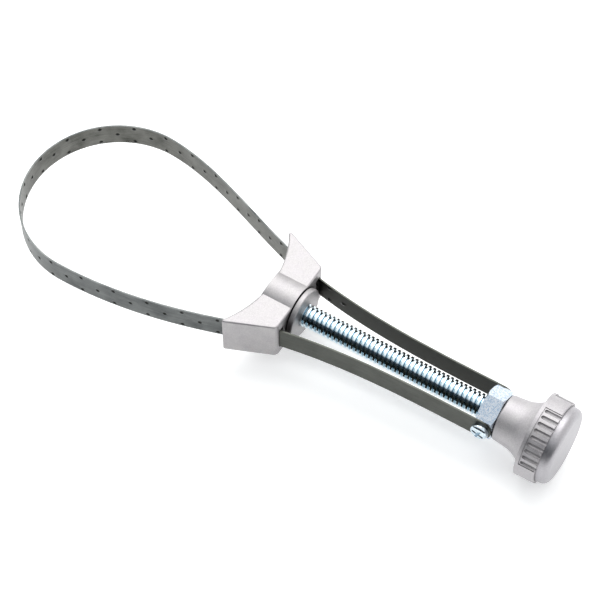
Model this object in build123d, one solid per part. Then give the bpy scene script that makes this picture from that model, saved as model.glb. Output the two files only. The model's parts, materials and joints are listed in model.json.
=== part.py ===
from build123d import *
import os
from math import cos, radians, sin, sqrt, tan

# Oil filter wrench with a steel band. The band forms a loop for the filter, passes through a
# cast saddle and is screwed to a nut. Turning the knob turns a coarse screw, which moves the nut
# and so makes the loop larger or smaller. The model shows the smallest loop, nut against knob.
#
# Frame, in millimetres: the origin is the centre of the loop's round end, at half the band's
# width. +X points along the screw towards the knob, +Z is the filter's axis, and left is +Y.
# The loop leans a little to the left. All shapes are made on the screw's axis first, and the
# last step moves them so that the leaning loop's centre is the origin.

# ---- Driving dimensions -------------------------------------------------------------------

# Band
BAND_WIDTH = 13.5
BAND_THICKNESS = 0.8
LOOP_RADIUS = 49.0            # centre line of the band round the filter
LOOP_ARC_END = 88.0           # degrees from the loop's middle line to where the arc stops
LOOP_LEAN = 2.5               # degrees to the left, about the saddle's back
FILTER_TO_SADDLE = 117.0      # filter's axis to the saddle's back face
SIDE_SLOPE = 0.34             # the band's slope where it leaves the saddle's front
STRAND_SLOPE = 0.20           # the band's slope where it leaves the saddle's back
BAND_END_RADIUS = 6.5         # rounded corners of the screwed ends
SPAN_STEPS = 8                # pieces of a bent span's middle line
RIBBON_STEPS = 12             # pieces of a bent span's two faces

# Grip holes, punched from outside in columns of two and one
PUNCH_STEP = 9.3              # from column to column, along the band
PUNCH_ROW_SHARE = 0.75        # each of a pair, as a share of half the band's width
PUNCH_MOUTH_RADIUS = 1.1      # in the outer face
PUNCH_EXIT_RADIUS = 0.4       # in the inner face

# Saddle casting
SADDLE_PLATE = 5.25           # plates above and below the band
SADDLE_END_WALL = 2.2
SADDLE_END_ANGLE = 23.1       # end faces, from the screw's direction
SADDLE_WEB = 16.8             # back to front at the middle
SADDLE_SEAT_RADIUS = 58.0     # concave front, against the filter
SADDLE_CORNER_RADIUS = 3.0
SADDLE_EDGE_RADIUS = 0.9
SADDLE_TIP_RADIUS = 1.0       # the two pointed ends
BOSS_BULGE = 2.2              # the boss stands this far out of the plates
POCKET_CLEARANCE = 0.5        # above and below the band
POCKET_WALL = 0.9             # boss to pocket
POCKET_BACK_WIDTH = 3.8       # the pocket's mouth at the back
WALL_CLEARANCE = 0.3          # band to end wall at the back
GUIDE_LENGTH = 28.0           # stretch of band inside the saddle
GUIDE_SLOPE = 0.332           # its mean slope

# Screw spindle
SPINDLE_DIAMETER = 12.0
THREAD_PITCH = 2.5
THREAD_DEPTH = 1.3
THREAD_CREST = 1.05           # width of the thread's crest
THREAD_FLANK = 0.45           # each flank's run along the axis
THREAD_CUT_RISE = 0.3         # the cutting profile stands this far out of the crests
TRAVEL_TURNS = 36             # turns from the smallest loop to the largest
TRAVEL_SPARE = 12.9           # thread left between nut and collar at the largest loop
JOURNAL_DIAMETER = 9.0        # turns in the saddle's boss
RUNNING_CLEARANCE = 0.05      # radial

# Thrust collar, front washer and retaining clip on the journal
COLLAR_DIAMETER = 27.5
COLLAR_THICKNESS = 3.0
COLLAR_GAP = 0.3
COLLAR_CHAMFER = 0.4
WASHER_DIAMETER = 16.0
WASHER_THICKNESS = 1.0
CLIP_DIAMETER = 13.5
CLIP_THICKNESS = 1.0
CLIP_MOUTH = 5.6
CLIP_GROOVE_DEPTH = 0.75
CLIP_SIDE_GAP = 0.03
COUNTERBORE_DEPTH = 5.0
COUNTERBORE_CLEARANCE = 1.0   # radial, round the washer
AXIAL_GAP = 0.1
JOURNAL_OVERHANG = 1.5        # past the clip

# Hexagonal nut
NUT_FLATS = 22.6
NUT_LENGTH = 9.6
NUT_CHAMFER = 1.5             # drop of the round chamfer at the corners
NUT_CHAMFER_RUN = 0.87
NUT_KNOB_GAP = 0.4
NUT_BORE_CLEARANCE = 0.06     # radial, over the thread's crests

# Band screws, M5 with a cross slot: a pan head on the right and a low head on the left
SCREW_DIAMETER = 5.0
SCREW_HEAD_DIAMETER = 9.5
SCREW_HEAD_HEIGHT = 3.2
SCREW_FROM_FRONT = 4.2        # from the nut's front face
SCREW_SLOT_WIDTH = 1.3
SCREW_SLOT_DEPTH = 1.5
SCREW_SLOT_LENGTH = 6.4
SCREW_SLOT_ANGLES = (20, 110)  # degrees, from the screw spindle's direction
SCREW_TIP_GAP = 0.8           # tip to the nut's bore
SCREW_HEAD_ROUNDING = 1.9
LOW_HEAD_HEIGHT = 1.2
LOW_HEAD_ROUNDING = 0.5
LOW_HEAD_SLOT_DEPTH = 0.7
HOLE_CLEARANCE = 0.15         # radial

# Knob
KNOB_NECK_DIAMETER = 24.0
KNOB_NECK_GROWTH = 0.6        # radius gained before the flare starts
KNOB_NECK_STRAIGHT = 6.7
KNOB_NECK_LENGTH = 17.5       # with the flare
KNOB_NECK_CHAMFER = 0.6
KNOB_FLARE_STEP = 4.1         # flare's mouth to the rim's surface
KNOB_RIM_DIAMETER = 43.8
KNOB_RIM_WIDTH = 10.7
KNOB_EDGE_RADIUS = 1.6        # on the neck's side
KNOB_BACK_EDGE_RADIUS = 0.6
KNOB_SHAFT_DIAMETER = 10.0    # spindle inside the knob
KNOB_SHAFT_FLATS = 8.0
GRIP_SECTORS = 3
GRIP_GROOVES = 9              # in each sector
GRIP_PITCH = 9.8              # degrees
GRIP_START = 86.8             # first groove of the first sector, degrees from +Y towards +Z
GRIP_GROOVE_RADIUS = 1.0
GRIP_FIELD_DEPTH = 0.35
GRIP_MARGIN = 2.3             # plain edge on the neck's side
GRIP_FIELD_MARGIN = 1.7

# Knob fastening and end cap
LOCK_THREAD_DIAMETER = 7.8
LOCK_NUT_FLATS = 13.0
LOCK_NUT_HEIGHT = 4.7
LOCK_WASHER_DIAMETER = 18.0
LOCK_WASHER_THICKNESS = 1.5
LOCK_POCKET_DIAMETER = 24.0
LOCK_POCKET_DEPTH = 7.0
LOCK_SHAFT_SPARE = 0.4        # shaft past the lock nut
CAP_DIAMETER = 40.2
CAP_HEIGHT = 5.7
CAP_EDGE_RADIUS = 3.4
CAP_SPIGOT_LENGTH = 3.0
CAP_SPIGOT_WALL = 2.0
CAP_HOLLOW_DEPTH = 2.4
CUT_OVERRUN = 1.0             # cutting tools reach this far past what they cut

# ---- Worked-out places --------------------------------------------------------------------

POCKET_HEIGHT = BAND_WIDTH + 2 * POCKET_CLEARANCE
SADDLE_THICKNESS = POCKET_HEIGHT + 2 * SADDLE_PLATE
BOSS_RADIUS = SADDLE_THICKNESS / 2 + BOSS_BULGE
POCKET_INNER_Y = BOSS_RADIUS + POCKET_WALL
POCKET_OUTER_Y = POCKET_INNER_Y + POCKET_BACK_WIDTH
END_TAN = tan(radians(SADDLE_END_ANGLE))
SADDLE_BACK_Y = POCKET_OUTER_Y + SADDLE_END_WALL / cos(radians(SADDLE_END_ANGLE))
SEAT_CENTRE_X = FILTER_TO_SADDLE - SADDLE_WEB - SADDLE_SEAT_RADIUS

COLLAR_X = FILTER_TO_SADDLE + COLLAR_GAP
THREAD_START_X = COLLAR_X + COLLAR_THICKNESS
TRAVEL = TRAVEL_TURNS * THREAD_PITCH
KNOB_X = THREAD_START_X + TRAVEL_SPARE + TRAVEL + NUT_LENGTH + NUT_KNOB_GAP
NUT_BACK_X = KNOB_X - NUT_KNOB_GAP
NUT_FRONT_X = NUT_BACK_X - NUT_LENGTH
SCREW_X = NUT_FRONT_X + SCREW_FROM_FRONT
RIM_X = KNOB_X + KNOB_NECK_LENGTH
CAP_X = RIM_X + KNOB_RIM_WIDTH
LOCK_FLOOR_X = CAP_X - LOCK_POCKET_DEPTH
LOCK_NUT_X = LOCK_FLOOR_X + LOCK_WASHER_THICKNESS

COUNTERBORE_X = FILTER_TO_SADDLE - SADDLE_WEB + COUNTERBORE_DEPTH
WASHER_X = COUNTERBORE_X - AXIAL_GAP - WASHER_THICKNESS
CLIP_X = WASHER_X - AXIAL_GAP - CLIP_THICKNESS

BAND_NUT_Y = NUT_FLATS / 2 + BAND_THICKNESS / 2
BAND_BACK_Y = POCKET_OUTER_Y - WALL_CLEARANCE - BAND_THICKNESS / 2
GUIDE_FRONT_X = FILTER_TO_SADDLE - GUIDE_LENGTH
BAND_FRONT_Y = BAND_BACK_Y + GUIDE_LENGTH * GUIDE_SLOPE
HALF_ARC_LENGTH = LOOP_RADIUS * radians(180 - LOOP_ARC_END)
LOOP_CENTRE_X = FILTER_TO_SADDLE * (1 - cos(radians(LOOP_LEAN)))
LOOP_CENTRE_Y = FILTER_TO_SADDLE * sin(radians(LOOP_LEAN))


# ---- Small helpers ------------------------------------------------------------------------

def rod(radius, x_low, x_high):
    """Cylinder along X between two places."""
    return Location((x_low, 0, 0), (0, 90, 0)) * Cylinder(
        radius, x_high - x_low, align=(Align.CENTER, Align.CENTER, Align.MIN))


def hexagon_bar(flats, x_low, x_high):
    """Hexagonal bar along X with two of its flats facing +Y and -Y."""
    outline = RegularPolygon(flats / 2, 6, major_radius=False, rotation=0)
    bar = extrude(Plane.YZ * Rot(0, 0, 30) * outline, amount=x_high - x_low)
    return Pos(x_low, 0, 0) * bar


def turned(points):
    """Solid of revolution about X from a closed (x, radius) outline."""
    return revolve(make_face(Polyline(*points, close=True)), axis=Axis.X)


def bent_edge(start, start_slope, end, end_slope):
    """Smooth line y(x) between two points, each with its slope."""
    run = end[0] - start[0]
    points = []
    for step in range(SPAN_STEPS + 1):
        t = step / SPAN_STEPS
        y = ((2 * t**3 - 3 * t**2 + 1) * start[1] + (t**3 - 2 * t**2 + t) * run * start_slope
             + (3 * t**2 - 2 * t**3) * end[1] + (t**3 - t**2) * run * end_slope)
        points.append((start[0] + t * run, y))
    return Spline(*points, tangents=[(1, start_slope), (1, end_slope)])


def ribbon(line):
    """Band-wide strip along a line in the XY plane."""
    outer, inner = [], []
    for step in range(RIBBON_STEPS + 1):
        share = step / RIBBON_STEPS
        point, along = line.position_at(share), line.tangent_at(share)
        shift = Vector(-along.Y, along.X, 0) * (BAND_THICKNESS / 2)
        outer.append(point + shift)
        inner.append(point - shift)
    ends = [line.tangent_at(0), line.tangent_at(1)]
    outline = [Spline(*outer, tangents=ends), Line(outer[-1], inner[-1]),
               Spline(*inner, tangents=ends), Line(inner[0], outer[0])]
    return extrude(make_face(outline), BAND_WIDTH / 2, both=True)


# ---- Band ---------------------------------------------------------------------------------

def side_line(lean):
    """Left side of a loop that leans to the left, from the round end to the saddle's front."""
    angle = radians(LOOP_ARC_END - lean)
    centre_y = LOOP_CENTRE_Y if lean > 0 else -LOOP_CENTRE_Y
    start = (LOOP_CENTRE_X + LOOP_RADIUS * cos(angle), centre_y + LOOP_RADIUS * sin(angle))
    return bent_edge(start, -1 / tan(angle), (GUIDE_FRONT_X, BAND_FRONT_Y), -SIDE_SLOPE)


def guide_line():
    """Left stretch inside the saddle."""
    return bent_edge((GUIDE_FRONT_X, BAND_FRONT_Y), -SIDE_SLOPE,
                     (FILTER_TO_SADDLE, BAND_BACK_Y), -STRAND_SLOPE)


def strand_line():
    """Left stretch beside the screw, from the saddle's back to the nut."""
    return bent_edge((FILTER_TO_SADDLE, BAND_BACK_Y), -STRAND_SLOPE, (NUT_FRONT_X, BAND_NUT_Y), 0)


def punch_heights(column):
    """Z of each hole in a column: two near the edges, then one in the middle."""
    if column % 2 == 0:
        row = PUNCH_ROW_SHARE * BAND_WIDTH / 2
        return (-row, row)
    return (0,)


def punched(strip, places):
    """Strip with its grip holes. Each place is a column's number, point and outward normal."""
    depth = 2 * BAND_THICKNESS
    spread = PUNCH_MOUTH_RADIUS - PUNCH_EXIT_RADIUS
    punch = Cone(PUNCH_MOUTH_RADIUS + spread / 2, PUNCH_EXIT_RADIUS - spread / 2, depth)
    return strip - [Plane(Vector(point.X, point.Y, z), z_dir=outward * -1) * punch
                    for column, point, outward in places for z in punch_heights(column)]


def round_end_places():
    """Columns on the round end, counted from its middle, before it leans."""
    last = int((HALF_ARC_LENGTH - PUNCH_MOUTH_RADIUS) / PUNCH_STEP)
    places = []
    for column in range(-last, last + 1):
        turn = column * PUNCH_STEP / LOOP_RADIUS
        outward = Vector(-cos(turn), sin(turn), 0)
        places.append((column, outward * LOOP_RADIUS, outward))
    return places


def span_places(line, length_before):
    """Columns on the left side of a span that starts length_before from the middle."""
    places = []
    column = int((length_before + PUNCH_MOUTH_RADIUS) / PUNCH_STEP) + 1
    while column * PUNCH_STEP < length_before + line.length - PUNCH_MOUTH_RADIUS:
        share = (column * PUNCH_STEP - length_before) / line.length
        along = line.tangent_at(share)
        places.append((column, line.position_at(share), Vector(-along.Y, along.X, 0)))
        column += 1
    return places


def band_round_end():
    """The loop's round end, a true arc, with its holes, leaning to the left."""
    start, sweep = LOOP_ARC_END, 360 - 2 * LOOP_ARC_END
    outer = CenterArc((0, 0), LOOP_RADIUS + BAND_THICKNESS / 2, start, sweep)
    inner = CenterArc((0, 0), LOOP_RADIUS - BAND_THICKNESS / 2, start, sweep)
    ends = [Line(outer @ 0, inner @ 0), Line(outer @ 1, inner @ 1)]
    strip = extrude(make_face([outer, inner] + ends), BAND_WIDTH / 2, both=True)
    upright = punched(strip, round_end_places())
    return Pos(LOOP_CENTRE_X, LOOP_CENTRE_Y, 0) * Rot(0, 0, -LOOP_LEAN) * upright


def band_side(lean):
    line = side_line(lean)
    return punched(ribbon(line), span_places(line, HALF_ARC_LENGTH))


def band_guide(lean):
    """The left stretch inside the saddle, with any holes that reach so far."""
    line = guide_line()
    return punched(ribbon(line), span_places(line, HALF_ARC_LENGTH + side_line(lean).length))


def band_strand():
    return ribbon(strand_line())


def band_end():
    """Left end of the band, flat on the nut, with a rounded end and a screw hole."""
    length = NUT_BACK_X - NUT_FRONT_X
    blank = Pos(NUT_FRONT_X + length / 2, BAND_NUT_Y, 0) * Box(length, BAND_THICKNESS, BAND_WIDTH)
    corners = blank.edges().filter_by(Axis.Y).group_by(Axis.X)[-1]
    blank = fillet(corners, min(BAND_END_RADIUS, BAND_WIDTH / 2 - 0.5, length - 0.5))
    hole = Pos(SCREW_X, BAND_NUT_Y, 0) * Rot(90, 0, 0) * Cylinder(
        SCREW_DIAMETER / 2 + HOLE_CLEARANCE, 2 * BAND_THICKNESS)
    return blank - hole


# ---- Saddle -------------------------------------------------------------------------------

def saddle_plan(back_y, x_back, inner_y=0.0, slope=END_TAN):
    """Plan outline of the left half, long enough in front to be trimmed by the seat."""
    length = SADDLE_SEAT_RADIUS
    return [(x_back, inner_y), (x_back, back_y), (x_back - length, back_y + slope * length),
            (x_back - length, inner_y)]


def saddle_block():
    """Solid block with its back corners rounded, too long in front."""
    left = saddle_plan(SADDLE_BACK_Y, FILTER_TO_SADDLE)
    right = [(x, -y) for x, y in reversed(left)]
    outline = make_face(Polyline(*left[1:3], *right[1:3], close=True))
    block = extrude(outline, SADDLE_THICKNESS / 2, both=True)
    return fillet(block.edges().filter_by(Axis.Z).group_by(Axis.X)[-1], SADDLE_CORNER_RADIUS)


def band_pocket():
    """Left pocket, open from the back to the front, wider in front."""
    overrun = SADDLE_CORNER_RADIUS
    plan = saddle_plan(POCKET_OUTER_Y - END_TAN * overrun, FILTER_TO_SADDLE + overrun,
                       POCKET_INNER_Y)
    pocket = extrude(make_face(Polyline(*plan, close=True)), POCKET_HEIGHT / 2, both=True)
    return pocket


def plate_rims(body):
    """Outer edges of the two flat faces, without the creases along the boss."""
    flats = [edge for edge in body.edges()
             if abs(abs(edge.center().Z) - SADDLE_THICKNESS / 2) < 0.001]
    return [edge for edge in flats if abs(edge.tangent_at(0).X) < 0.999]


def saddle_tips(body):
    """The upright edges at the two points, outermost in Y."""
    upright = body.edges().filter_by(Axis.Z)
    reach = max(edge.center().Y for edge in upright)
    return [edge for edge in upright if abs(edge.center().Y) > reach - 0.01]


def saddle():
    """Block with a round boss, two band pockets, a stepped bore and the filter's seat."""
    boss = rod(BOSS_RADIUS, FILTER_TO_SADDLE - SADDLE_SEAT_RADIUS, FILTER_TO_SADDLE)
    pocket = band_pocket()
    body = saddle_block() + boss - pocket - mirror(pocket, about=Plane.XZ)
    body -= rod(JOURNAL_DIAMETER / 2 + RUNNING_CLEARANCE, 0, FILTER_TO_SADDLE + CUT_OVERRUN)
    body -= rod(WASHER_DIAMETER / 2 + COUNTERBORE_CLEARANCE, 0, COUNTERBORE_X)
    body -= Pos(SEAT_CENTRE_X, 0, 0) * Cylinder(SADDLE_SEAT_RADIUS, 4 * BOSS_RADIUS)
    body = fillet(saddle_tips(body), SADDLE_TIP_RADIUS)
    return fillet(plate_rims(body), SADDLE_EDGE_RADIUS)


# ---- Spindle and what sits on its journal -------------------------------------------------

def thread_groove():
    """Helical groove along the threaded stretch, as a tool to cut with."""
    radius = SPINDLE_DIAMETER / 2
    overrun = THREAD_PITCH
    height = KNOB_X - THREAD_START_X - THREAD_PITCH + overrun
    half_mouth = (THREAD_PITCH - THREAD_CREST) / 2
    half_root = half_mouth - THREAD_FLANK
    rise = THREAD_CUT_RISE
    spread = THREAD_FLANK / THREAD_DEPTH * rise
    profile = make_face(Polyline(
        (radius + rise, -half_mouth - spread), (radius - THREAD_DEPTH, -half_root),
        (radius - THREAD_DEPTH, half_root), (radius + rise, half_mouth + spread), close=True))
    helix = Helix(THREAD_PITCH, height, radius)
    groove = sweep(Plane.XZ * profile, path=helix, is_frenet=True)
    return Location((THREAD_START_X - overrun, 0, 0), (0, 90, 0)) * groove


def spindle():
    """Journal, threaded stretch, flatted shaft in the knob and stud for the lock nut."""
    threaded = rod(SPINDLE_DIAMETER / 2, THREAD_START_X, KNOB_X) - thread_groove()
    journal = rod(JOURNAL_DIAMETER / 2, CLIP_X - JOURNAL_OVERHANG, THREAD_START_X)
    groove_radius = JOURNAL_DIAMETER / 2 - CLIP_GROOVE_DEPTH
    groove = (rod(JOURNAL_DIAMETER, CLIP_X, CLIP_X + CLIP_THICKNESS)
              - rod(groove_radius, CLIP_X, CLIP_X + CLIP_THICKNESS))
    shaft = knob_shaft(0, KNOB_X, LOCK_FLOOR_X)
    stud = rod(LOCK_THREAD_DIAMETER / 2, LOCK_FLOOR_X,
               LOCK_NUT_X + LOCK_NUT_HEIGHT + LOCK_SHAFT_SPARE)
    return threaded + (journal - groove) + shaft + stud


def knob_shaft(clearance, x_low, x_high):
    """Round shaft with two flats, or with a clearance the hole for it."""
    round_part = rod(KNOB_SHAFT_DIAMETER / 2 + clearance, x_low, x_high)
    middle = Pos((x_low + x_high) / 2, 0, 0)
    return round_part & (middle * Box(x_high - x_low, KNOB_SHAFT_DIAMETER * 2,
                                      KNOB_SHAFT_FLATS + 2 * clearance))


def thrust_collar():
    ring = rod(COLLAR_DIAMETER / 2, COLLAR_X, THREAD_START_X)
    ring = chamfer(ring.edges().filter_by(GeomType.CIRCLE), COLLAR_CHAMFER)
    return ring - rod(JOURNAL_DIAMETER / 2 + RUNNING_CLEARANCE, COLLAR_X, THREAD_START_X)


def front_washer():
    return (rod(WASHER_DIAMETER / 2, WASHER_X, WASHER_X + WASHER_THICKNESS)
            - rod(JOURNAL_DIAMETER / 2 + RUNNING_CLEARANCE, WASHER_X, WASHER_X + WASHER_THICKNESS))


def retaining_clip():
    """Open spring clip in the journal's groove."""
    groove_radius = JOURNAL_DIAMETER / 2 - CLIP_GROOVE_DEPTH + RUNNING_CLEARANCE
    low, high = CLIP_X + CLIP_SIDE_GAP, CLIP_X + CLIP_THICKNESS - CLIP_SIDE_GAP
    ring = rod(CLIP_DIAMETER / 2, low, high) - rod(groove_radius, low, high)
    mouth = Pos((low + high) / 2, 0, -CLIP_DIAMETER / 2) * Box(2, CLIP_MOUTH, CLIP_DIAMETER)
    return ring - mouth


# ---- Nut and band screws ------------------------------------------------------------------

def hex_nut():
    blank = hexagon_bar(NUT_FLATS, NUT_FRONT_X, NUT_BACK_X)
    corner = NUT_FLATS / sqrt(3)
    run = NUT_CHAMFER_RUN
    envelope = turned([(NUT_FRONT_X, 0), (NUT_FRONT_X, corner - NUT_CHAMFER),
                       (NUT_FRONT_X + run, corner), (NUT_BACK_X - run, corner),
                       (NUT_BACK_X, corner - NUT_CHAMFER), (NUT_BACK_X, 0)])
    bore = rod(SPINDLE_DIAMETER / 2 + NUT_BORE_CLEARANCE, NUT_FRONT_X, NUT_BACK_X)
    holes = Pos(SCREW_X, 0, 0) * Rot(90, 0, 0) * Cylinder(
        SCREW_DIAMETER / 2 + HOLE_CLEARANCE, 2 * NUT_FLATS)
    return (blank & envelope) - bore - holes


def band_screw(head_height, head_rounding, slot_depth):
    """Screw on the left: shank into the nut, rounded head on the band, cross slot."""
    seat_y = NUT_FLATS / 2 + BAND_THICKNESS
    tip_y = SPINDLE_DIAMETER / 2 + NUT_BORE_CLEARANCE + SCREW_TIP_GAP
    shank = Cylinder(SCREW_DIAMETER / 2, seat_y - tip_y,
                     align=(Align.CENTER, Align.CENTER, Align.MIN))
    head = Pos(0, 0, seat_y - tip_y) * Cylinder(
        SCREW_HEAD_DIAMETER / 2, head_height, align=(Align.CENTER, Align.CENTER, Align.MIN))
    head = fillet(head.edges().filter_by(GeomType.CIRCLE).sort_by(Axis.Z)[-1],
                  head_rounding)
    screw = shank + head
    top = seat_y - tip_y + head_height
    for angle in SCREW_SLOT_ANGLES:
        slot = Pos(0, 0, top) * Rot(0, 0, angle) * Box(
            SCREW_SLOT_LENGTH, SCREW_SLOT_WIDTH, 2 * slot_depth)
        screw -= slot
    return Pos(SCREW_X, tip_y, 0) * Rot(-90, 0, 0) * screw


def band_screws():
    """A low head on the left, and a pan head on the right."""
    left = band_screw(LOW_HEAD_HEIGHT, LOW_HEAD_ROUNDING, LOW_HEAD_SLOT_DEPTH)
    right = band_screw(SCREW_HEAD_HEIGHT, SCREW_HEAD_ROUNDING, SCREW_SLOT_DEPTH)
    return Compound([left, mirror(right, about=Plane.XZ)])


# ---- Knob ---------------------------------------------------------------------------------

def knob_blank():
    """Turned shape: a neck that flares into the rim like a trumpet."""
    neck, rim = KNOB_NECK_DIAMETER / 2, KNOB_RIM_DIAMETER / 2
    flare_start = (KNOB_X + KNOB_NECK_STRAIGHT, neck + KNOB_NECK_GROWTH)
    flare_end = (RIM_X, rim - KNOB_FLARE_STEP)
    flare = TangentArc(flare_start, flare_end, tangent=(KNOB_NECK_STRAIGHT, KNOB_NECK_GROWTH))
    outline = Polyline((RIM_X, rim - KNOB_FLARE_STEP), (RIM_X, rim), (CAP_X, rim), (CAP_X, 0),
                       (KNOB_X, 0), (KNOB_X, neck - KNOB_NECK_CHAMFER),
                       (KNOB_X + KNOB_NECK_CHAMFER, neck), flare_start)
    blank = revolve(make_face([flare, outline]), axis=Axis.X)
    circles = blank.edges().filter_by(GeomType.CIRCLE)
    front, back = circles.filter_by(lambda edge: edge.radius > rim - 0.001).sort_by(Axis.X)
    blank = fillet(front, KNOB_EDGE_RADIUS)
    return fillet(back, KNOB_BACK_EDGE_RADIUS)


def grip_angles():
    """Angle of every groove, sector by sector."""
    return [GRIP_START + sector * 360 / GRIP_SECTORS + groove * GRIP_PITCH
            for sector in range(GRIP_SECTORS) for groove in range(GRIP_GROOVES)]


def grip_groove(angle):
    """One groove with a rounded end on the neck's side, open on the cap's side."""
    radius = KNOB_RIM_DIAMETER / 2 - GRIP_FIELD_DEPTH
    start = RIM_X + GRIP_MARGIN + GRIP_GROOVE_RADIUS
    bar = Pos(0, 0, radius) * rod(GRIP_GROOVE_RADIUS, start, CAP_X + CUT_OVERRUN)
    end = Pos(start, 0, radius) * Sphere(GRIP_GROOVE_RADIUS)
    return Rot(angle - 90, 0, 0) * (bar + end)


def grip_field(sector):
    """Shallow step that sets one sector's ridges below the plain lands."""
    first = GRIP_START + sector * 360 / GRIP_SECTORS - GRIP_PITCH / 2
    sweep_angle = GRIP_GROOVES * GRIP_PITCH
    rim = KNOB_RIM_DIAMETER / 2
    low, high = RIM_X + GRIP_FIELD_MARGIN, CAP_X + CUT_OVERRUN
    section = make_face(Polyline(
        (low, rim - GRIP_FIELD_DEPTH), (high, rim - GRIP_FIELD_DEPTH), (high, rim + CUT_OVERRUN),
        (low, rim + CUT_OVERRUN), close=True))
    return Rot(first, 0, 0) * revolve(section, axis=Axis.X, revolution_arc=sweep_angle)


def knob():
    body = knob_blank()
    body -= [grip_field(sector) for sector in range(GRIP_SECTORS)]
    body -= [grip_groove(angle) for angle in grip_angles()]
    body -= knob_shaft(RUNNING_CLEARANCE, KNOB_X - CUT_OVERRUN, LOCK_FLOOR_X + CUT_OVERRUN)
    return body - rod(LOCK_POCKET_DIAMETER / 2, LOCK_FLOOR_X, CAP_X + CUT_OVERRUN)


def knob_washer():
    return (rod(LOCK_WASHER_DIAMETER / 2, LOCK_FLOOR_X, LOCK_NUT_X)
            - rod(LOCK_THREAD_DIAMETER / 2 + HOLE_CLEARANCE, LOCK_FLOOR_X, LOCK_NUT_X))


def knob_lock_nut():
    end = LOCK_NUT_X + LOCK_NUT_HEIGHT
    return (hexagon_bar(LOCK_NUT_FLATS, LOCK_NUT_X, end)
            - rod(LOCK_THREAD_DIAMETER / 2 + RUNNING_CLEARANCE, LOCK_NUT_X, end))


def knob_cap():
    """End cap with a hollow back and a ring that plugs into the knob."""
    outer, ring = CAP_DIAMETER / 2, LOCK_POCKET_DIAMETER / 2
    cap = rod(outer, CAP_X, CAP_X + CAP_HEIGHT)
    far = cap.edges().filter_by(GeomType.CIRCLE).sort_by(Axis.X)[-1]
    cap = fillet(far, CAP_EDGE_RADIUS)
    cap += rod(ring, CAP_X - CAP_SPIGOT_LENGTH, CAP_X)
    hollow = rod(ring - CAP_SPIGOT_WALL, CAP_X - CAP_SPIGOT_LENGTH, CAP_X + CAP_HOLLOW_DEPTH)
    return cap - hollow


# ---- Write one file per node --------------------------------------------------------------

def left_and_right(name, left, mirrored):
    """A left piece, and the mirror image of another left piece for the right side."""
    return {name + "_left": left, name + "_right": mirror(mirrored, about=Plane.XZ)}


def all_nodes():
    nodes = {
        "saddle": saddle(), "spindle": spindle(), "thrust_collar": thrust_collar(),
        "front_washer": front_washer(), "retaining_clip": retaining_clip(),
        "travelling_nut": hex_nut(), "band_screws": band_screws(), "knob": knob(),
        "knob_washer": knob_washer(), "knob_lock_nut": knob_lock_nut(), "knob_cap": knob_cap(),
        "band_round_end": band_round_end(),
    }
    strand, end = band_strand(), band_end()
    nodes.update(left_and_right("band_side", band_side(LOOP_LEAN), band_side(-LOOP_LEAN)))
    nodes.update(left_and_right("band_guide", band_guide(LOOP_LEAN), band_guide(-LOOP_LEAN)))
    nodes.update(left_and_right("band_strand", strand, strand))
    nodes.update(left_and_right("band_end", end, end))
    to_origin = Pos(-LOOP_CENTRE_X, -LOOP_CENTRE_Y, 0)
    return {name: to_origin * shape for name, shape in nodes.items()}


os.makedirs("parts", exist_ok=True)
for node, shape in all_nodes().items():
    export_step(shape, f"parts/{node}.step")
    print(f"{node}: {sum(solid.volume for solid in shape.solids()):.1f} mm3")
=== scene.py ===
# %% [markdown]
# # An oil filter wrench with a steel band
# This lesson dresses a finished CAD model of a filter wrench. The CAD parts keep their places and
# sizes. Here they get their real surfaces, and the long steel band, which bends and changes
# length as the knob is turned, is modelled again from flat strip with punched grip holes, as the
# loop and two strands.

# %% Load the frame
import bisect
import json
import math

import bmesh
import bpy
from mathutils import Matrix, Vector


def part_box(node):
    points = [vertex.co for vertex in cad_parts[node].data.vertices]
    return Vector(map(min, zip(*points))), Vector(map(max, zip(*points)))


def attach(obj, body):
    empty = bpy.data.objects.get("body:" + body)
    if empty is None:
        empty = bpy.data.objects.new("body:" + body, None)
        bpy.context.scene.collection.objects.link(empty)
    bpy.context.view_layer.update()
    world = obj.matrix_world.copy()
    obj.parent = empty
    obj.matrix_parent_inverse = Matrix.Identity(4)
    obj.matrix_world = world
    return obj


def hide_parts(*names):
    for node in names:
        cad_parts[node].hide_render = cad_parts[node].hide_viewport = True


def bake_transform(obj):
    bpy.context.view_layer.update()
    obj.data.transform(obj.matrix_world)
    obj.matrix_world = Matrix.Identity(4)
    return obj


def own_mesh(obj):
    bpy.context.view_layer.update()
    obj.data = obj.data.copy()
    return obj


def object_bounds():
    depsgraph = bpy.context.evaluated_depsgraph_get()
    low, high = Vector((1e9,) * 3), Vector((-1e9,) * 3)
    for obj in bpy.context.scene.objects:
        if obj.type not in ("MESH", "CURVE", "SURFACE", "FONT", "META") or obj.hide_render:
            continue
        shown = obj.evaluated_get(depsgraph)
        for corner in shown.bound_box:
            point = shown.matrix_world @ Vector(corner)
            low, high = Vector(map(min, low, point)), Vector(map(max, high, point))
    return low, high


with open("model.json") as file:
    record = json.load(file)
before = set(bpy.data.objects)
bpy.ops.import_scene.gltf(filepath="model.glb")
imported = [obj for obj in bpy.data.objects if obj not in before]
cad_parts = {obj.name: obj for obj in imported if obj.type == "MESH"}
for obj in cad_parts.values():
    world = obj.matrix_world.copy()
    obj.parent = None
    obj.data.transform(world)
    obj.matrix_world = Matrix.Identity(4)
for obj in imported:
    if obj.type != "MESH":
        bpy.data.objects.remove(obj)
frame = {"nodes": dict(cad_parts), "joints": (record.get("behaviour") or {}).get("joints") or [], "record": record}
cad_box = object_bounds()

MM = 0.001
print("CAD nodes:", len(frame["nodes"]), "size in mm:",
      [round(side / MM, 1) for side in cad_box[1] - cad_box[0]])

# %% [markdown]
# ## Camera, floor and light
# A long lens from above and to one side shows the loop, the screw and the knob together without
# much perspective. It is rolled a third of a degree about its own view, as a hand-held camera
# is. The floor and the surroundings are pale.

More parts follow.
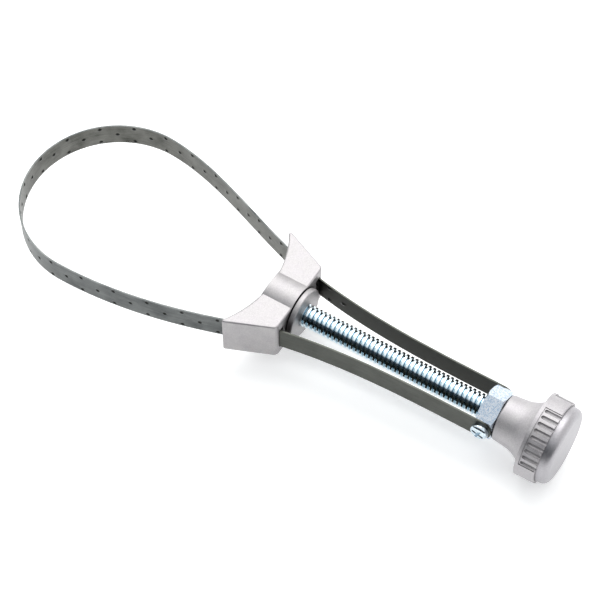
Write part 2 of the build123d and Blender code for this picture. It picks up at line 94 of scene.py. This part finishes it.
# %% Camera
CAMERA_PLACE = Vector((0.4024, -0.4689, 0.8073))
CAMERA_AIM = Vector((0.1132, 0.0011, -0.0001))
CAMERA_ROLL = math.radians(0.3)
LENS = 116.1
SENSOR = 36.0

camera_data = bpy.data.cameras.new("camera")
camera_data.lens = LENS
camera_data.sensor_width = SENSOR
camera = bpy.data.objects.new("camera", camera_data)
camera.location = CAMERA_PLACE
level = (CAMERA_AIM - CAMERA_PLACE).to_track_quat("-Z", "Y").to_matrix()
camera.rotation_euler = (level @ Matrix.Rotation(CAMERA_ROLL, 3, "Z")).to_euler()
bpy.context.scene.collection.objects.link(camera)
bpy.context.scene.camera = camera
bpy.context.scene.view_settings.view_transform = "Standard"
print("camera is", round((CAMERA_PLACE - CAMERA_AIM).length, 3), "m away")


# %% Colours and nodes
def linear(hex_colour):
    """An sRGB hex colour as linear red, green, blue and alpha."""
    values = [int(hex_colour[i:i + 2], 16) / 255 for i in (1, 3, 5)]
    return tuple(v / 12.92 if v <= 0.04045 else ((v + 0.055) / 1.055) ** 2.4
                 for v in values) + (1.0,)


def add(tree, kind, inputs=None, stops=(), **settings):
    """Adds a node. Inputs are values, or sockets to link from, by name or number. Stops are
    the places and sRGB colours along a colour ramp."""
    made = tree.nodes.new(kind)
    for name, value in settings.items():
        setattr(made, name, value)
    for key, value in (inputs or {}).items():
        if isinstance(value, bpy.types.NodeSocket):
            tree.links.new(value, made.inputs[key])
        else:
            made.inputs[key].default_value = value
    for number, (position, colour) in enumerate(stops):
        marks = made.color_ramp.elements
        if number == len(marks):
            marks.new(1.0)
        marks[number].position = position
        marks[number].color = linear(colour)
    return made


def new_material(name):
    """An empty node material and its tree."""
    material = bpy.data.materials.new(name)
    material.use_nodes = True
    material.node_tree.nodes.clear()
    return material, material.node_tree


print("mid grey is", round(linear("#808080")[0], 3), "in linear light")

# %% [markdown]
# ### Surroundings and floor
# Bare metal shows its surroundings, so the surroundings decide how it looks. These are a white
# tent with one dark panel on the camera's side. The panel runs along the tool, so its place is
# given by the angle from straight up towards the front. Faces that lean that way show it as a
# dark band, and everything else reflects white.
#
# The floor is a light table: opal acrylic with a weak lamp below it. Its glow fills most of the
# shadow under the tool.

# %% Tent
TENT_LIGHT = 1.15
PANEL = ((15, "#ffffff"), (32, "#dadfe4"), (45, "#30363c"), (92, "#20262c"), (104, "#e4e6e8"))
STRAIGHT_DOWN = 180

world = bpy.data.worlds.new("studio")
world.use_nodes = True
world.node_tree.nodes.clear()
tent = world.node_tree
direction = add(tent, "ShaderNodeTexCoord").outputs["Generated"]
parts = add(tent, "ShaderNodeSeparateXYZ", {0: direction})
front = add(tent, "ShaderNodeMath", {0: parts.outputs["Y"], 1: -1.0}, operation="MULTIPLY")
lean_forward = add(tent, "ShaderNodeMath", {0: front.outputs[0], 1: parts.outputs["Z"]},
                   operation="ARCTAN2")
share = add(tent, "ShaderNodeMapRange", {"Value": lean_forward.outputs[0], "From Min": 0.0,
                                         "From Max": math.pi})
ramp = add(tent, "ShaderNodeValToRGB", {0: share.outputs[0]},
           stops=[(angle / STRAIGHT_DOWN, colour) for angle, colour in PANEL])
ramp.color_ramp.interpolation = "EASE"
light = add(tent, "ShaderNodeBackground", {0: ramp.outputs[0], 1: TENT_LIGHT})
add(tent, "ShaderNodeOutputWorld", {0: light.outputs[0]})
bpy.context.scene.world = world
print("dark panel from", PANEL[2][0], "to", PANEL[3][0], "degrees off straight up")

# %% Floor
FLOOR_COLOUR = "#eceded"
FLOOR_GLOW = 0.4
FLOOR_SIZE = 20.0

floor_mesh = bmesh.new()
bmesh.ops.create_grid(floor_mesh, x_segments=1, y_segments=1, size=FLOOR_SIZE / 2)
bmesh.ops.translate(floor_mesh, vec=(0, 0, cad_box[0].z), verts=floor_mesh.verts)
floor_data = bpy.data.meshes.new("floor")
floor_mesh.to_mesh(floor_data)
floor_mesh.free()
floor = bpy.data.objects.new("floor", floor_data)
bpy.context.scene.collection.objects.link(floor)
paint, paint_tree = new_material("opal acrylic light table")
surface = add(paint_tree, "ShaderNodeBsdfPrincipled",
              {"Base Color": linear(FLOOR_COLOUR), "Roughness": 0.9,
               "Emission Color": linear("#ffffff"), "Emission Strength": FLOOR_GLOW})
add(paint_tree, "ShaderNodeOutputMaterial", {0: surface.outputs[0]})
floor_data.materials.append(paint)
print("floor at", round(cad_box[0].z / MM, 2), "mm")

# %% [markdown]
# ### The lamp
# One large square lamp hangs behind the tool. It stands where the flat tops of the saddle
# mirror it towards the camera, so they come out nearly white while the sides stay grey. Its
# size keeps the edge of its light soft.

# %% Overhead box
BOX_PLACE = Vector((-0.33, 0.76, 1.33))
BOX_SIZE = 1.4
BOX_WATTS = 14.0

box_data = bpy.data.lights.new("overhead box", "AREA")
box_data.size = BOX_SIZE
box_data.energy = BOX_WATTS
overhead_box = bpy.data.objects.new("overhead box", box_data)
overhead_box.location = BOX_PLACE
overhead_box.rotation_euler = (CAMERA_AIM - BOX_PLACE).to_track_quat("-Z", "Y").to_euler()
bpy.context.scene.collection.objects.link(overhead_box)
print("lamp is", round((CAMERA_AIM - BOX_PLACE).length, 2), "m from the tool's middle")

# %% [markdown]
# ## The metals
# Four metals make this tool: die-cast aluminium, turned aluminium, steel with bright zinc, and
# bare spring steel. Each one is a metallic Principled shader. A pattern for its grain, crystals
# or rolling lines changes the colour and the roughness a little and drives a small bump,
# because a metal with one even value looks like plastic.
#
# ### Die-cast aluminium
# The saddle, the collar behind it and the knob are cast in steel dies and blasted. Blasting
# leaves a soft grey shine with a fine grain. The knob's copy is duller, and is drawn paler as
# painted light, to make up for the dark panel that it mirrors. Real grain is about a quarter of
# a millimetre, too fine to show, so it is drawn twice as coarse.
#
# Corners and grooves are darkened as painted shade. It could be painted by hand, but the
# Ambient Occlusion node finds every corner of the casting by itself.

# %% Die-cast aluminium
DEEPEST_CORNER_SHADE = 0.12


def cast_aluminium(name, dark, pale, rough_low, rough_high):
    """Blasted casting: soft shine, fine grain, faint cloudy patches, painted shade in corners."""
    grain_size, patch_size, corner_size = 0.55 * MM, 6.0 * MM, 1.6 * MM
    material, tree = new_material(name)
    place = add(tree, "ShaderNodeTexCoord").outputs["Object"]
    grain = add(tree, "ShaderNodeTexNoise", {"Vector": place, "Scale": 1 / grain_size,
                                             "Detail": 3.0, "Roughness": 0.6})
    patch = add(tree, "ShaderNodeTexNoise", {"Vector": place, "Scale": 1 / patch_size,
                                             "Detail": 2.0})
    tone = add(tree, "ShaderNodeValToRGB", {0: patch.outputs["Fac"]},
               stops=((0.3, dark), (0.7, pale)))
    speck = add(tree, "ShaderNodeMapRange", {"Value": grain.outputs["Fac"], "From Min": 0.3,
                                             "From Max": 0.7, "To Min": 0.86, "To Max": 1.1})
    # Painted shade: ambient occlusion darkens the colour in corners and grooves.
    corner = add(tree, "ShaderNodeAmbientOcclusion", {"Distance": corner_size}, samples=8)
    corner_shade = add(tree, "ShaderNodeMapRange", {"Value": corner.outputs["AO"], "From Min": 0.3,
                                             "From Max": 0.9, "To Min": DEEPEST_CORNER_SHADE, "To Max": 1.0})
    grain_and_shade = add(tree, "ShaderNodeMath", {0: speck.outputs[0], 1: corner_shade.outputs[0]},
                operation="MULTIPLY")
    colour = add(tree, "ShaderNodeVectorMath", {0: tone.outputs[0], 1: grain_and_shade.outputs[0]},
                 operation="MULTIPLY")
    shine = add(tree, "ShaderNodeMapRange", {"Value": patch.outputs["Fac"], "From Min": 0.3,
                                             "From Max": 0.7, "To Min": rough_low,
                                             "To Max": rough_high})
    bump = add(tree, "ShaderNodeBump", {"Height": grain.outputs["Fac"], "Strength": 0.35,
                                        "Distance": 0.06 * MM})
    shader = add(tree, "ShaderNodeBsdfPrincipled",
                 {"Base Color": colour.outputs[0], "Metallic": 1.0,
                  "Roughness": shine.outputs[0], "Normal": bump.outputs[0]})
    add(tree, "ShaderNodeOutputMaterial", {0: shader.outputs[0]})
    return material


CASTING = cast_aluminium("die-cast aluminium, blasted", "#a9a6a8", "#b8b6b6", 0.46, 0.56)
# Painted light: the knob's colours are paler than the saddle's to make up for the dark panel.
KNOB_CASTING = cast_aluminium("die-cast aluminium, dull blasted", "#b8b5b8", "#c5c3c4",
                              0.54, 0.62)
print("castings:", [CASTING.name, KNOB_CASTING.name])

# %% [markdown]
# ### Turned aluminium
# The knob's cap is turned on a lathe. It is smoother than the castings and has faint, uneven
# rings round the screw's axis. A Wave texture would give even rings. Noise in one dimension, on
# the distance from the axis, gives uneven ones, as a cutting tool does. Real tool marks are
# finer than the half millimetre used here, and would not show.


# %% Turned aluminium
def distance_from_axis(tree, place, axis):
    """How far each point is from a line along X."""
    across = add(tree, "ShaderNodeMapping", {"Vector": place, "Location": (0, -axis.y, -axis.z),
                                             "Scale": (0, 1, 1)})
    length = add(tree, "ShaderNodeVectorMath", {0: across.outputs[0]}, operation="LENGTH")
    return length.outputs["Value"]


def turned_aluminium(name, axis, dark, pale):
    """Satin surface with rings round the axis and a little grain."""
    ring_pitch, grain_size = 0.5 * MM, 0.8 * MM
    material, tree = new_material(name)
    place = add(tree, "ShaderNodeTexCoord").outputs["Object"]
    rings = add(tree, "ShaderNodeTexNoise", {"W": distance_from_axis(tree, place, axis),
                                             "Scale": 1 / ring_pitch, "Detail": 2.0},
                noise_dimensions="1D")
    grain = add(tree, "ShaderNodeTexNoise", {"Vector": place, "Scale": 1 / grain_size,
                                             "Detail": 2.0})
    mixed = add(tree, "ShaderNodeMath", {0: rings.outputs["Fac"], 1: grain.outputs["Fac"]},
                operation="ADD")
    tone = add(tree, "ShaderNodeValToRGB", {0: grain.outputs["Fac"]},
               stops=((0.3, dark), (0.7, pale)))
    bump = add(tree, "ShaderNodeBump", {"Height": mixed.outputs[0], "Strength": 0.12,
                                        "Distance": 0.03 * MM})
    shader = add(tree, "ShaderNodeBsdfPrincipled",
                 {"Base Color": tone.outputs[0], "Metallic": 1.0, "Roughness": 0.42,
                  "Normal": bump.outputs[0]})
    add(tree, "ShaderNodeOutputMaterial", {0: shader.outputs[0]})
    return material


SCREW_AXIS = Vector(next(j for j in frame["joints"] if j["name"] == "spindle_turn")["pos_m"])
CAP_METAL = turned_aluminium("turned aluminium, satin", SCREW_AXIS, "#a8a6aa", "#b5b3b6")
print("screw's axis at y", round(SCREW_AXIS.y / MM, 2), "mm")

# %% [markdown]
# ### Bright zinc
# The nut, the band screws and the small parts inside are steel, plated with zinc in a bath. The
# coat is made of crystals that each shine a little differently, with a cold blue tint. A
# Voronoi pattern gives each crystal its own tone and roughness. Real crystals are too fine to
# show, so these are drawn half a millimetre wide. The nut is worn and duller than the screws.

# %% Bright zinc plate
CRYSTAL_SIZE = 0.45 * MM


def zinc_plate(name, dark, pale, rough_low, rough_high):
    """Zinc on steel: slightly blue, with the coat's crystals."""
    material, tree = new_material(name)
    place = add(tree, "ShaderNodeTexCoord").outputs["Object"]
    crystal = add(tree, "ShaderNodeTexVoronoi", {"Vector": place, "Scale": 1 / CRYSTAL_SIZE})
    tone = add(tree, "ShaderNodeValToRGB", {0: crystal.outputs["Color"]},
               stops=((0.0, dark), (1.0, pale)))
    shine = add(tree, "ShaderNodeMapRange", {"Value": crystal.outputs["Color"],
                                             "To Min": rough_low, "To Max": rough_high})
    bump = add(tree, "ShaderNodeBump", {"Height": crystal.outputs["Color"], "Strength": 0.15,
                                        "Distance": 0.02 * MM})
    shader = add(tree, "ShaderNodeBsdfPrincipled",
                 {"Base Color": tone.outputs[0], "Metallic": 1.0,
                  "Roughness": shine.outputs[0], "Normal": bump.outputs[0]})
    add(tree, "ShaderNodeOutputMaterial", {0: shader.outputs[0]})
    return material


ZINC = zinc_plate("bright zinc plate", "#b4c6d4", "#e6f0f4", 0.08, 0.18)
NUT_ZINC = zinc_plate("bright zinc plate, worn", "#9fb8d0", "#f8fafd", 0.18, 0.34)
print("zinc:", [ZINC.name, NUT_ZINC.name])

# %% [markdown]
# ### The screw's thread
# The screw has the same zinc. Its crests are bright, and the grooves are painted a little
# darker and bluer, as painted shade. The tone goes by the distance from the screw's axis, from
# the thread's root to its crest, so it follows the helix by itself.

# %% Zinc plate with painted shade in the thread's grooves
THREAD_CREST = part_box("spindle")[1].z
THREAD_DEPTH = 1.3 * MM


def thread_with_painted_shade(name, axis, groove, crest, rough_low, rough_high):
    """Bright crests, and painted shade that deepens down the flanks of the thread."""
    material, tree = new_material(name)
    place = add(tree, "ShaderNodeTexCoord").outputs["Object"]
    height = add(tree, "ShaderNodeMapRange", {"Value": distance_from_axis(tree, place, axis),
                                              "From Min": THREAD_CREST - THREAD_DEPTH,
                                              "From Max": THREAD_CREST})
    # Painted shade: the colour darkens from the crest down towards the thread's root.
    tone = add(tree, "ShaderNodeValToRGB", {0: height.outputs[0]},
               stops=((0.25, groove), (0.85, crest)))
    crystal = add(tree, "ShaderNodeTexVoronoi", {"Vector": place, "Scale": 1 / CRYSTAL_SIZE})
    shine = add(tree, "ShaderNodeMapRange", {"Value": crystal.outputs["Color"],
                                             "To Min": rough_low, "To Max": rough_high})
    shader = add(tree, "ShaderNodeBsdfPrincipled",
                 {"Base Color": tone.outputs[0], "Metallic": 1.0,
                  "Roughness": shine.outputs[0]})
    add(tree, "ShaderNodeOutputMaterial", {0: shader.outputs[0]})
    return material


THREAD_ZINC = thread_with_painted_shade("bright zinc plate, thread painted darker in its grooves", SCREW_AXIS, "#b4c9d4",
                             "#e3f0f6", 0.12, 0.22)
print("thread's crest is", round(THREAD_CREST / MM, 2), "mm from the axis")

# %% [markdown]
# ### Spring steel
# The band is bare steel strip. The mill's rolls leave fine lines along it, and oil and hands
# leave faint stains. Noise that is stretched along the strip gives the lines, which are drawn
# coarser than real ones so that they show. The pattern is laid out on the flat strip, as a UV
# map in metres, so it bends with the band. The strands beside the screw are painted darker
# than the loop, and their inner faces darker still, as painted shade. The holes are painted
# nearly black as painted shade, and the loop's inner face has a tone of its own.


# %% Spring steel
def spring_steel(name, dark, pale):
    """Cold-rolled strip: fine lines along its length, which is U in its UV map."""
    line_width, line_length, stain_size = 0.30 * MM, 14.0 * MM, 11.0 * MM
    material, tree = new_material(name)
    flat = add(tree, "ShaderNodeUVMap", uv_map="along_band").outputs[0]
    stretched = add(tree, "ShaderNodeMapping", {"Vector": flat, "Scale":
                    (1 / line_length, 1 / line_width, 1.0)})
    lines = add(tree, "ShaderNodeTexNoise", {"Vector": stretched.outputs[0], "Scale": 1.0,
                                             "Detail": 4.0, "Roughness": 0.65})
    stain = add(tree, "ShaderNodeTexNoise", {"Vector": flat, "Scale": 1 / stain_size,
                                             "Detail": 3.0})
    mixed = add(tree, "ShaderNodeMath", {0: lines.outputs["Fac"], 1: stain.outputs["Fac"]},
                operation="ADD")
    half = add(tree, "ShaderNodeMath", {0: mixed.outputs[0], 1: 0.5}, operation="MULTIPLY")
    tone = add(tree, "ShaderNodeValToRGB", {0: half.outputs[0]},
               stops=((0.35, dark), (0.62, pale)))
    shine = add(tree, "ShaderNodeMapRange", {"Value": stain.outputs["Fac"], "From Min": 0.3,
                                             "From Max": 0.7, "To Min": 0.30, "To Max": 0.42})
    bump = add(tree, "ShaderNodeBump", {"Height": lines.outputs["Fac"], "Strength": 0.2,
                                        "Distance": 0.02 * MM})
    shader = add(tree, "ShaderNodeBsdfPrincipled",
                 {"Base Color": tone.outputs[0], "Metallic": 1.0,
                  "Roughness": shine.outputs[0], "Normal": bump.outputs[0]})
    add(tree, "ShaderNodeOutputMaterial", {0: shader.outputs[0]})
    return material


LOOP_OUTER = spring_steel("spring steel, cold rolled", "#3c3f40", "#727574")
LOOP_INNER = spring_steel("spring steel, cold rolled, inner face", "#3a3b36", "#777773")
# Painted shade: the strands are darker copies of the loop's steel, and their inner faces darker still.
STRAND_OUTER = spring_steel("spring steel, darkened as painted shade", "#434540", "#585a55")
STRAND_INNER = spring_steel("spring steel, darkened as painted shade, inner face", "#1f201c", "#2e2f2a")
# Painted shade: the holes and their lips are painted nearly black.
HOLE_SHADE = spring_steel("spring steel, punched, holes painted dark as shade", "#1d1e1c", "#333432")
print("steels:", [m.name for m in (LOOP_OUTER, LOOP_INNER, STRAND_OUTER, STRAND_INNER,
                                   HOLE_SHADE)])

# %% [markdown]
# ### Each part gets its metal
# The cast, turned and plated parts keep the CAD shape, which is right to a few hundredths of a
# millimetre, so only their material is changed.

# %% Give the CAD nodes their metals
METAL_OF_NODE = {
    "saddle": CASTING, "thrust_collar": CASTING, "knob": KNOB_CASTING, "knob_cap": CAP_METAL,
    "spindle": THREAD_ZINC, "travelling_nut": NUT_ZINC, "band_screws": ZINC, "front_washer": ZINC,
    "retaining_clip": ZINC, "knob_washer": ZINC, "knob_lock_nut": ZINC,
}
for node, metal in METAL_OF_NODE.items():
    cad_mesh = frame["nodes"][node].data
    cad_mesh.materials.clear()
    cad_mesh.materials.append(metal)
print("nodes with a new finish:", len(METAL_OF_NODE))

# %% [markdown]
# ## The band
# The band is one long strip of thin steel. A strip is easiest to make flat: a grid, with a
# hole punched in wherever the tool has one, made thick, and only then bent along its real
# line. Bending is a formula for each point: how far along the line it is, and how far to the
# side.
#
# The line has a true arc round the filter, and then three smooth spans on each side: the loop's
# side, the stretch inside the saddle, and the strand beside the screw. The loop leans a little
# to the left, so the two sides differ. The spans' ends come from the CAD boxes.

# %% The band's line
LEAN = math.radians(2.5)
ARC_END_ANGLE = math.radians(88.0)
SIDE_SLOPE = -0.34
STRAND_SLOPE = -0.20
LINE_STEP = 0.5 * MM

grip = next(m for m in frame["record"]["mounts"] if m["name"] == "filter_grip")
INNER_RADIUS = grip["dims"]["r_mm"] * MM
OUTER_RADIUS = -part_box("band_round_end")[0].x
THICKNESS = OUTER_RADIUS - INNER_RADIUS
LOOP_RADIUS = INNER_RADIUS + THICKNESS / 2
WIDTH = 2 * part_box("band_round_end")[1].z


def span_end(node, slope, side):
    """Middle of the band at the nut's end of a node, from its box. Side is 1 left, -1 right."""
    low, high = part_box(node)
    near = low.y if side > 0 else -high.y
    tilt = math.atan(slope)
    return (high.x + math.sin(tilt) * THICKNESS / 2, near + math.cos(tilt) * THICKNESS / 2)


def smooth_span(start, start_slope, end, end_slope):
    """Points of the cubic between two points with given slopes, without its first one."""
    run = end[0] - start[0]
    count = round(run / LINE_STEP)
    points = []
    for step in range(1, count + 1):
        t = step / count
        y = ((2 * t**3 - 3 * t**2 + 1) * start[1] + (t**3 - 2 * t**2 + t) * run * start_slope
             + (3 * t**2 - 2 * t**3) * end[1] + (t**3 - t**2) * run * end_slope)
        points.append((start[0] + t * run, y))
    return points


class Half:
    """One half of the band's line, from the loop's middle to the nut, as if on the left."""

    def __init__(self, side, name):
        first, last = math.pi - side * LEAN, ARC_END_ANGLE - side * LEAN
        count = round((first - last) * LOOP_RADIUS / LINE_STEP)
        turns = [first + (last - first) * step / count for step in range(count + 1)]
        arc = [(LOOP_RADIUS * math.cos(a), LOOP_RADIUS * math.sin(a)) for a in turns]
        self.side = side
        self.front = span_end("band_side_" + name, SIDE_SLOPE, side)
        self.back = span_end("band_guide_" + name, STRAND_SLOPE, side)
        self.nut = span_end("band_strand_" + name, 0.0, side)
        flank = smooth_span(arc[-1], -1 / math.tan(last), self.front, SIDE_SLOPE)
        guide = smooth_span(self.front, SIDE_SLOPE, self.back, STRAND_SLOPE)
        strand = smooth_span(self.back, STRAND_SLOPE, self.nut, 0.0)
        self.points = [Vector((x, y, 0)) for x, y in arc + flank + guide + strand]
        self.distance = [0.0]
        for before, after in zip(self.points, self.points[1:]):
            self.distance.append(self.distance[-1] + (after - before).length)
        self.loop_end = self.distance[len(arc) + len(flank) + len(guide) - 1]
        self.strand_end = self.distance[-1]
        print(name, "half loop", round(self.loop_end / MM, 1), "mm, to the nut",
              round(self.strand_end / MM, 1), "mm")

    def tangent(self, index):
        """Direction of the line at one of its points."""
        after = self.points[min(index + 1, len(self.points) - 1)]
        return (after - self.points[max(index - 1, 0)]).normalized()

    def place(self, along, outward, z):
        """Bent place of a flat point that lies along, outward and z from the loop's middle."""
        wanted = min(abs(along), self.strand_end)
        low = min(bisect.bisect_right(self.distance, wanted), len(self.distance) - 1) - 1
        share = (wanted - self.distance[low]) / (self.distance[low + 1] - self.distance[low])
        tangent = self.tangent(low).lerp(self.tangent(low + 1), share).normalized()
        point = self.points[low].lerp(self.points[low + 1], share)
        point = point + Vector((-tangent.y, tangent.x, 0)) * outward
        return Vector((point.x, point.y * self.side, z))


LEFT, RIGHT = Half(1, "left"), Half(-1, "right")


def place_on_line(along, outward, z):
    """Bent place of a flat point. Along is negative on the right side of the tool."""
    return (LEFT if along >= 0 else RIGHT).place(along, outward, z)


print("middle of the loop is bent to", [round(v / MM, 1) for v in place_on_line(0, 0, 0)])

# %% [markdown]
# ### Punched holes
# The grip holes are punched from outside, in columns of two and one. Bevelling a grid vertex
# opens a small diamond, whose edges are cut and pushed out to a circle. Two insets that go
# down make the drawn-in mouth, and its floor is taken out. The strip gets its thickness
# afterwards, so each hole has a raised lip on the inner face, which is what bites the filter.

# %% The pattern of holes
PUNCH_STEP = 9.3 * MM
PUNCH_ROW = 0.75 * WIDTH / 2
MOUTH_RADIUS = 1.1 * MM
SAME_PLACE = 0.1 * MM


def nearest_column(along):
    """Number of the nearest column, its place, and how far its holes are from the middle."""
    column = round(along / PUNCH_STEP)
    return column, column * PUNCH_STEP, PUNCH_ROW if column % 2 == 0 else 0.0


def is_punched(vert, first, last):
    """True where the pattern has a hole: two near the edges, then one in the middle."""
    column, middle, row = nearest_column(vert.co.x)
    return (first <= column <= last and abs(vert.co.x - middle) <= SAME_PLACE
            and abs(abs(vert.co.z) - row) < SAME_PLACE)


def in_hole(face):
    """True for a face of the flat strip that belongs to a hole or its lip."""
    centre = face.calc_center_median()
    column, middle, row = nearest_column(centre.x)
    return math.hypot(centre.x - middle, abs(centre.z) - row) < MOUTH_RADIUS


print("holes every", round(PUNCH_STEP / MM, 1), "mm, rows at", round(PUNCH_ROW / MM, 2), "mm")

# %% Flat strip with holes
CELLS_PER_STEP = 4
ROWS = 8
DIAMOND = 0.9 * MOUTH_RADIUS
DRAWN_IN = ((0.30 * MM, 0.16 * MM), (0.62 * MM, 0.20 * MM))


def punch(strip, face):
    """Rounds one small face, draws it in with two insets, and takes out what is left."""
    centre = face.calc_center_median()
    cut = bmesh.ops.subdivide_edges(strip, edges=face.edges, cuts=2)
    ring = {v for e in cut["geom_split"] if isinstance(e, bmesh.types.BMEdge) for v in e.verts}
    for vert in ring:
        if (vert.co - centre).length < 2 * MOUTH_RADIUS:
            vert.co = centre + (vert.co - centre).normalized() * MOUTH_RADIUS
    for shrink, depth in DRAWN_IN:
        bmesh.ops.inset_individual(strip, faces=[face], thickness=shrink, depth=-depth)
    bmesh.ops.delete(strip, geom=[face], context="FACES")


def flat_strip(start, end, first_column, last_column):
    """Flat band along X from start to end, its outer face towards +Y."""
    strip = bmesh.new()
    cell = PUNCH_STEP / CELLS_PER_STEP
    low, high = math.floor(start / cell), math.ceil(end / cell)
    bmesh.ops.create_grid(strip, x_segments=high - low, y_segments=ROWS, size=0.5)
    bmesh.ops.scale(strip, vec=((high - low) * cell, WIDTH, 1), verts=strip.verts)
    bmesh.ops.rotate(strip, cent=(0, 0, 0), verts=strip.verts,
                     matrix=Matrix.Rotation(math.radians(-90), 3, "X"))
    bmesh.ops.translate(strip, vec=((high + low) / 2 * cell, 0, 0), verts=strip.verts)
    for cut_at, outside in ((start, -1), (end, 1)):
        bmesh.ops.bisect_plane(strip, geom=strip.verts[:] + strip.edges[:] + strip.faces[:],
                               plane_co=(cut_at, 0, 0), plane_no=(outside, 0, 0),
                               clear_outer=True, dist=1e-6)
    middles = [v for v in strip.verts if is_punched(v, first_column, last_column)]
    if middles:
        opened = bmesh.ops.bevel(strip, geom=middles, offset=DIAMOND, offset_type="OFFSET",
                                 segments=1, profile=0.5, affect="VERTICES", material=-1)
        for face in [f for f in opened["faces"] if f.calc_area() < (2 * MOUTH_RADIUS)**2]:
            punch(strip, face)
    return strip


print("grid cells are", round(PUNCH_STEP / CELLS_PER_STEP / MM, 2), "by",
      round(WIDTH / ROWS / MM, 2), "mm")

# %% [markdown]
# ### Thickness, layout and bending
# The flat sheet lies on the band's middle line, so it is moved out by half the thickness and
# given the whole thickness inwards. The flat places of its points are kept as its UV map
# before the points move to the bent line. Bending comes last, because holes, walls and layout
# are all simple while the strip is flat.

# %% From flat strip to finished piece
OUTER_FACE, INNER_FACE, HOLE = 0, 1, 2
STRIP_CREASE = math.radians(50)


def band_piece(name, start, end, outer_steel, inner_steel, first_column=0, last_column=-1):
    """One stretch of the band: punched, made thick, laid out for its pattern and bent."""
    strip = flat_strip(start, end, first_column, last_column)
    bmesh.ops.recalc_face_normals(strip, faces=strip.faces)
    if sum(f.normal.y for f in strip.faces) < 0:
        bmesh.ops.reverse_faces(strip, faces=strip.faces)
    bmesh.ops.translate(strip, vec=(0, THICKNESS / 2, 0), verts=strip.verts)
    bmesh.ops.solidify(strip, geom=strip.verts[:] + strip.edges[:] + strip.faces[:],
                       thickness=THICKNESS)
    layout = strip.loops.layers.uv.new("along_band")
    for face in strip.faces:
        face.smooth = True
        face.material_index = INNER_FACE if face.calc_center_median().y < 0 else OUTER_FACE
        # Faces of a hole take the nearly black steel, which is painted shade.
        if in_hole(face):
            face.material_index = HOLE
        for loop in face.loops:
            loop[layout].uv = (loop.vert.co.x, loop.vert.co.z)
    for vert in strip.verts:
        vert.co = place_on_line(vert.co.x, vert.co.y, vert.co.z)
    bmesh.ops.recalc_face_normals(strip, faces=strip.faces)
    mesh = bpy.data.meshes.new(name)
    strip.to_mesh(mesh)
    strip.free()
    mesh.set_sharp_from_angle(angle=STRIP_CREASE)
    for steel in (outer_steel, inner_steel, HOLE_SHADE):
        mesh.materials.append(steel)
    piece = bpy.data.objects.new(name, mesh)
    bpy.context.scene.collection.objects.link(piece)
    print(name, "faces:", len(mesh.polygons))
    return piece


LEFT_COLUMNS = int((LEFT.loop_end - MOUTH_RADIUS) / PUNCH_STEP)
RIGHT_COLUMNS = int((RIGHT.loop_end - MOUTH_RADIUS) / PUNCH_STEP)
loop_band = band_piece("loop_band", -RIGHT.loop_end, LEFT.loop_end, LOOP_OUTER, LOOP_INNER,
                       -RIGHT_COLUMNS, LEFT_COLUMNS)
left_strand = band_piece("left_strand", LEFT.loop_end, LEFT.strand_end, STRAND_OUTER,
                         STRAND_INNER, LEFT_COLUMNS + 1, LEFT_COLUMNS + 2)
right_strand = band_piece("right_strand", -RIGHT.strand_end, -RIGHT.loop_end, STRAND_OUTER,
                          STRAND_INNER)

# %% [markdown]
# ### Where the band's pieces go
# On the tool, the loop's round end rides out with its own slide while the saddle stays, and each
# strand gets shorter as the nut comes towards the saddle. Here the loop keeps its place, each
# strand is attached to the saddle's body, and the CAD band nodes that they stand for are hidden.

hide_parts("band_round_end", "band_side_left", "band_side_right",
            "band_guide_left", "band_guide_right")
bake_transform(loop_band)
for piece, node in ((left_strand, "band_strand_left"), (right_strand, "band_strand_right")):
    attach(piece, "saddle")
    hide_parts(node)
    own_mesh(piece)

# %% [markdown]
# ### The screwed ends
# The ends are flat, with round corners and a hole. The CAD shape is right, so a copy of it is
# merged into one surface, gets soft edges and the band's own pattern, and stands for the node.

# %% Band ends
END_CREASE = math.radians(35)
SOFT_EDGE = 0.1 * MM


def band_end(side_name):
    """Copy of a CAD end with merged points, soft edges and the band's layout."""
    node = "band_end_" + side_name
    shape = bmesh.new()
    shape.from_mesh(frame["nodes"][node].data)
    bmesh.ops.remove_doubles(shape, verts=shape.verts, dist=0.001 * MM)
    bmesh.ops.dissolve_limit(shape, angle_limit=math.radians(1), verts=shape.verts,
                             edges=shape.edges)
    layout = shape.loops.layers.uv.verify()
    for face in shape.faces:
        for loop in face.loops:
            loop[layout].uv = (loop.vert.co.x, loop.vert.co.z)
    mesh = bpy.data.meshes.new(side_name + "_band_end")
    shape.to_mesh(mesh)
    shape.free()
    mesh.uv_layers[0].name = "along_band"
    mesh.shade_smooth()
    mesh.set_sharp_from_angle(angle=END_CREASE)
    mesh.materials.clear()
    # The ends take the strands' darker steel, which is painted shade.
    mesh.materials.append(STRAND_OUTER)
    piece = bpy.data.objects.new(side_name + "_band_end", mesh)
    bpy.context.scene.collection.objects.link(piece)
    soft = piece.modifiers.new("soft edge", "BEVEL")
    soft.width = SOFT_EDGE
    soft.segments = 2
    soft.limit_method = "ANGLE"
    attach(piece, "nut")
    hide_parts(node)
    return piece


band_ends = [band_end("left"), band_end("right")]
print("ends:", [piece.name for piece in band_ends])
